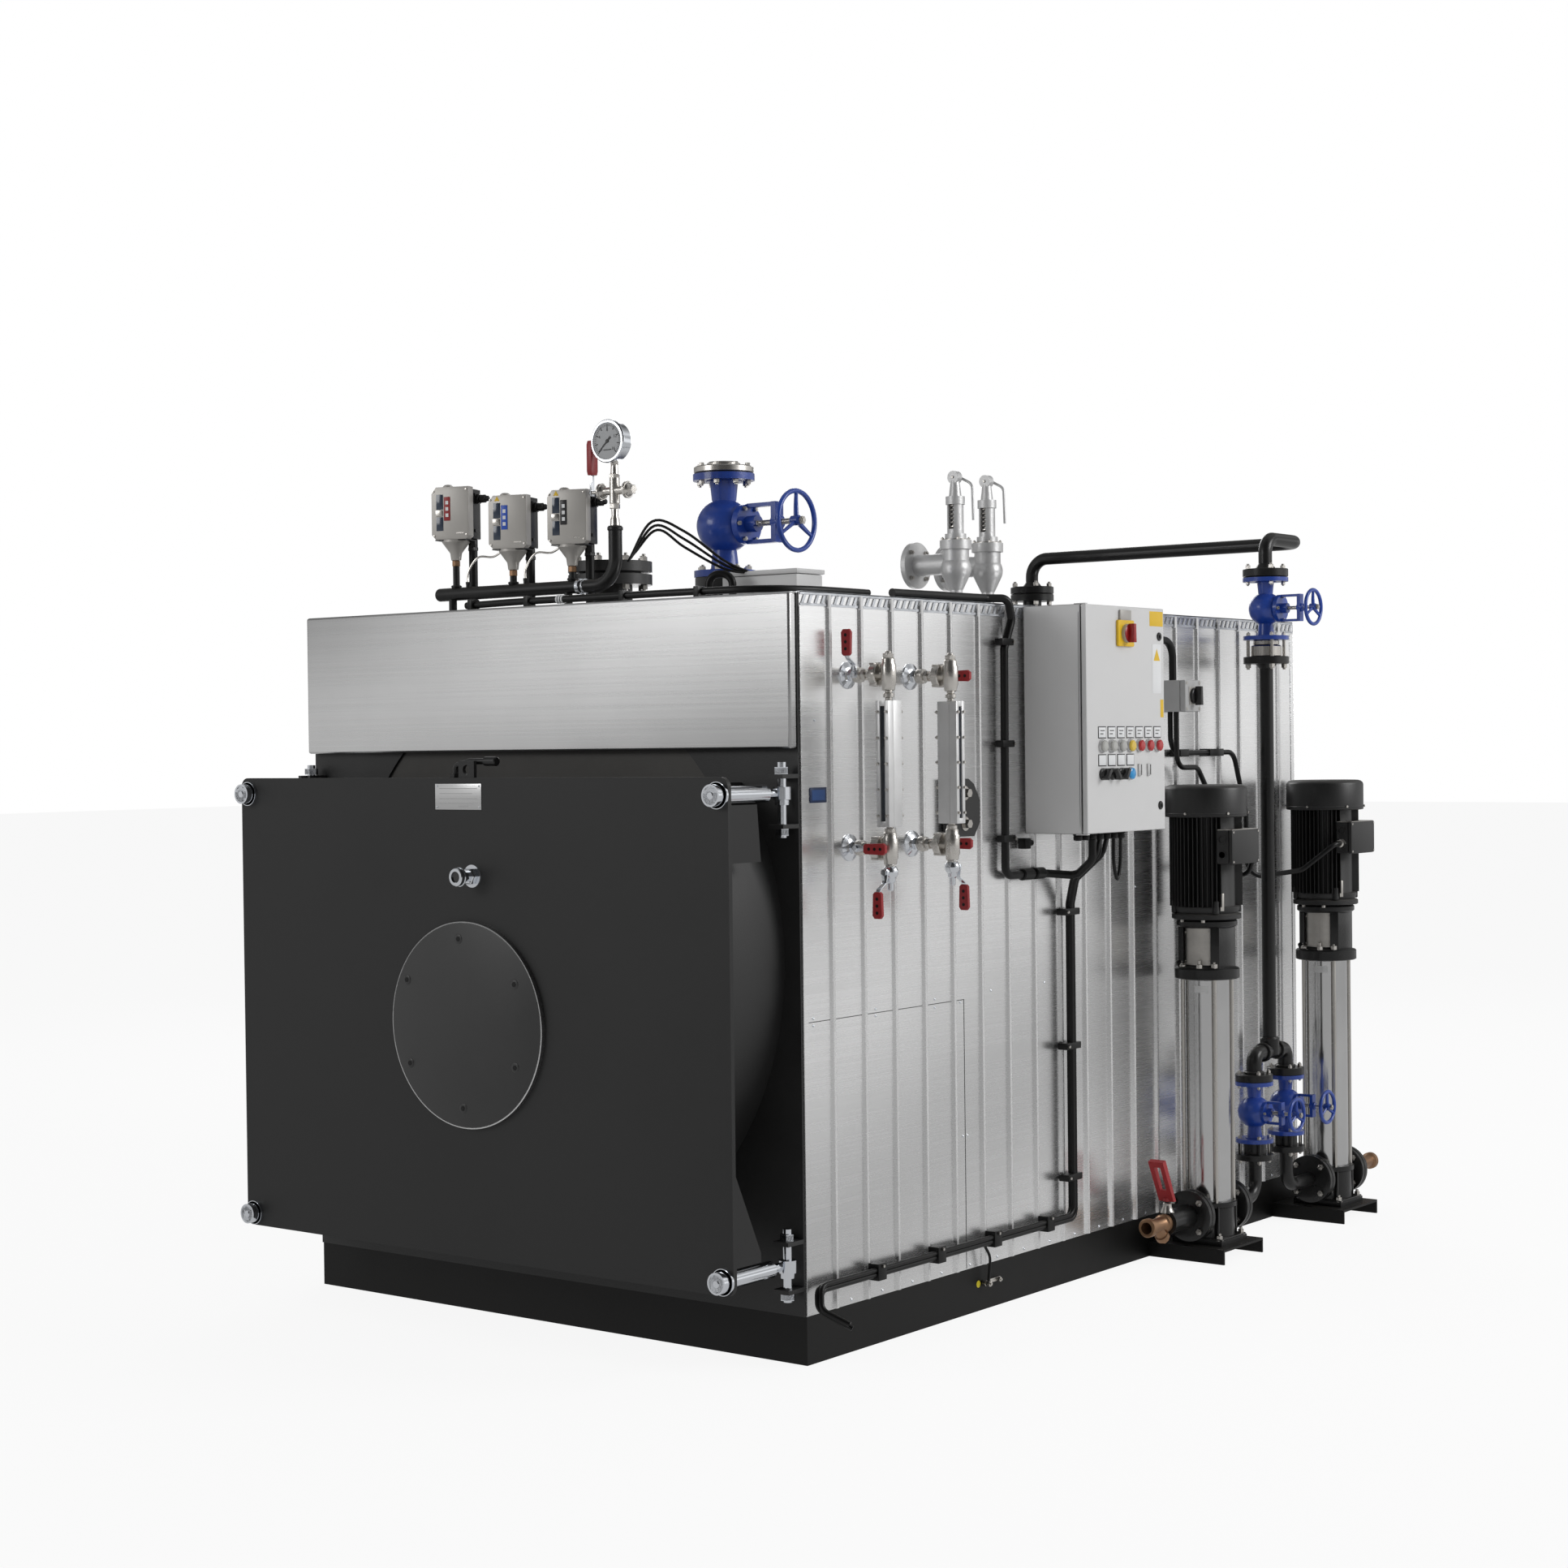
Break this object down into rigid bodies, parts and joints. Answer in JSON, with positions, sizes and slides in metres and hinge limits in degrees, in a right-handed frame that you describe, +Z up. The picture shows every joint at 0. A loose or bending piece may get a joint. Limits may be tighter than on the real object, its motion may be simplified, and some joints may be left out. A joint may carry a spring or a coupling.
{
  "type": "industrial boiler",
  "caption": "Packaged fire-tube steam boiler in a ribbed metal casing with hinged front door, valves, level gauges, control cabinet and vertical feed pumps.",
  "frame": {"origin": "on the floor under the middle of the casing, on the underside of the base frame's cross-member", "axes": "+X towards the side with the control cabinet, gauges and pumps, +Y from the front door to the back, +Z up"},
  "size_m": [2.38, 3.757, 2.7859],
  "materials": {
    "frame_black": "satin",
    "ribbed_sheet": "brushed",
    "flue_steel": "matte",
    "panel_black": "matte",
    "hood_steel": "brushed",
    "vessel_steel": "matte",
    "chrome": "polished",
    "door_black": "fine texture",
    "lining_board": "pressed fibre",
    "plate_black": "satin",
    "pipe_black": "satin",
    "switch_grey": "satin",
    "lever_red": "soft grip",
    "nozzle_black": "satin",
    "stainless": "machined",
    "valve_blue": "gloss",
    "valve_silver": "silver paint",
    "cast_black": "gloss paint",
    "sleeve_steel": "polished",
    "motor_black": "satin",
    "brass": "dull",
    "fitting_nickel": "cast and plated",
    "column_silver": "satin",
    "gauge_glass": "clear",
    "cabinet_grey": "powder coat",
    "switch_yellow": "gloss",
    "knob_red": "gloss",
    "lamp_mix": "gloss",
    "box_grey": "matte",
    "knob_black": "gloss",
    "tray_zinc": "galvanised",
    "conduit_black": "matte"
  },
  "bodies": {
    "boiler": {"plinth": "frame_black", "side_cladding": "ribbed_sheet", "rear_cladding": "ribbed_sheet", "roof_cladding": "ribbed_sheet", "flue_outlet": "flue_steel", "front_wall": "panel_black", "front_hood": "hood_steel", "boiler_vessel": "vessel_steel", "smokebox": "panel_black", "hinge_pins": "chrome", "switch_manifold": "pipe_black", "pressure_switches": "switch_grey", "pressure_gauge": "chrome", "roof_nozzles": "nozzle_black", "steam_flange": "stainless", "safety_valves": "valve_silver", "feed_pipe": "pipe_black", "riser": "pipe_black", "stop_valves": "valve_blue", "pump_bases": "cast_black", "pump_sleeves": "sleeve_steel", "pump_heads": "cast_black", "pump_motors": "motor_black", "strainers": "brass", "gauge_fittings": "fitting_nickel", "gauge_columns": "column_silver", "gauge_glasses": "gauge_glass", "side_cover": "panel_black", "cabinet": "cabinet_grey", "terminal_boxes": "box_grey", "cable_tray": "tray_zinc", "conduits": "conduit_black"},
    "door": {"front_door": "door_black", "door_lining": "lining_board", "door_rods": "chrome", "burner_plate": "plate_black", "sight_glass": "chrome"},
    "steam_wheel": {"steam_handwheel": "valve_blue"},
    "feed_wheel": {"feed_handwheel": "valve_blue"},
    "front_pump_wheel": {"front_pump_handwheel": "valve_blue"},
    "rear_pump_wheel": {"rear_pump_handwheel": "valve_blue"},
    "gauge_lever": {"gauge_cock_lever": "lever_red"},
    "safety_lift_front": {"safety_lever_front": "valve_silver"},
    "safety_lift_rear": {"safety_lever_rear": "valve_silver"},
    "suction_handle": {"suction_lever": "lever_red"},
    "lever_one_top": {"gauge_one_top_lever": "lever_red"},
    "lever_one_low": {"gauge_one_low_lever": "lever_red"},
    "lever_one_drain": {"gauge_one_drain_lever": "lever_red"},
    "lever_two_top": {"gauge_two_top_lever": "lever_red"},
    "lever_two_low": {"gauge_two_low_lever": "lever_red"},
    "lever_two_drain": {"gauge_two_drain_lever": "lever_red"},
    "cabinet_door": {"cabinet_front": "cabinet_grey", "main_switch": "switch_yellow", "cabinet_lamps": "lamp_mix"},
    "main_knob": {"main_switch_knob": "knob_red"},
    "isolator_handle": {"isolator_knob": "knob_black"}
  },
  "joints": [
    {"name": "door_hinge", "type": "hinge", "parent": "boiler", "child": "door", "pos_m": [0.975, -1.575, 0.96], "axis": [0, 0, 1], "range_deg": [0, 100]},
    {"name": "cabinet_door_hinge", "type": "hinge", "parent": "boiler", "child": "cabinet_door", "pos_m": [1.235, -0.353, 1.836], "axis": [0, 0, -1], "range_deg": [0, 110]},
    {"name": "main_switch_turn", "type": "hinge", "parent": "cabinet_door", "child": "main_knob", "pos_m": [1.264, -0.127, 2.11], "axis": [1, 0, 0], "range_deg": [0, 90]},
    {"name": "isolator_turn", "type": "hinge", "parent": "boiler", "child": "isolator_handle", "pos_m": [1.139, 0.541, 1.918], "axis": [1, 0, 0], "range_deg": [0, 90]},
    {"name": "steam_wheel_turn", "type": "hinge", "parent": "boiler", "child": "steam_wheel", "pos_m": [0.303, -0.612, 2.499], "axis": [1, 0, 0], "range_deg": [0, 720]},
    {"name": "feed_wheel_turn", "type": "hinge", "parent": "boiler", "child": "feed_wheel", "pos_m": [1.345, 1.01, 2.2295], "axis": [1, 0, 0], "range_deg": [0, 720]},
    {"name": "front_pump_wheel_turn", "type": "hinge", "parent": "boiler", "child": "front_pump_wheel", "pos_m": [1.324, 0.89, 0.4525], "axis": [1, 0, 0], "range_deg": [0, 720]},
    {"name": "rear_pump_wheel_turn", "type": "hinge", "parent": "boiler", "child": "rear_pump_wheel", "pos_m": [1.324, 1.13, 0.4525], "axis": [1, 0, 0], "range_deg": [0, 720]},
    {"name": "gauge_lever_turn", "type": "hinge", "parent": "boiler", "child": "gauge_lever", "pos_m": [0.122, -1.405, 2.547], "axis": [1, 0, 0], "range_deg": [0, 90]},
    {"name": "safety_lift_front_turn", "type": "hinge", "parent": "boiler", "child": "safety_lift_front", "pos_m": [0, 0.79, 2.762], "axis": [0, -1, 0], "range_deg": [0, 30]},
    {"name": "safety_lift_rear_turn", "type": "hinge", "parent": "boiler", "child": "safety_lift_rear", "pos_m": [0, 1.006, 2.762], "axis": [0, -1, 0], "range_deg": [0, 30]},
    {"name": "suction_handle_turn", "type": "hinge", "parent": "boiler", "child": "suction_handle", "pos_m": [1.16, 0.265, 0.232], "axis": [0, 0, 1], "range_deg": [0, 90]},
    {"name": "lever_one_top_turn", "type": "hinge", "parent": "boiler", "child": "lever_one_top", "pos_m": [1.049, -1.327, 1.966], "axis": [0, 1, 0], "range_deg": [0, 90]},
    {"name": "lever_one_low_turn", "type": "hinge", "parent": "boiler", "child": "lever_one_low", "pos_m": [1.049, -1.327, 1.466], "axis": [0, -1, 0], "range_deg": [0, 90]},
    {"name": "lever_one_drain_turn", "type": "hinge", "parent": "boiler", "child": "lever_one_drain", "pos_m": [1.15, -1.327, 1.398], "axis": [0, -1, 0], "range_deg": [0, 90]},
    {"name": "lever_two_top_turn", "type": "hinge", "parent": "boiler", "child": "lever_two_top", "pos_m": [1.049, -0.95, 1.966], "axis": [0, -1, 0], "range_deg": [0, 90]},
    {"name": "lever_two_low_turn", "type": "hinge", "parent": "boiler", "child": "lever_two_low", "pos_m": [1.049, -0.95, 1.466], "axis": [0, -1, 0], "range_deg": [0, 90]},
    {"name": "lever_two_drain_turn", "type": "hinge", "parent": "boiler", "child": "lever_two_drain", "pos_m": [1.15, -0.95, 1.398], "axis": [0, -1, 0], "range_deg": [0, 90]}
  ]
}
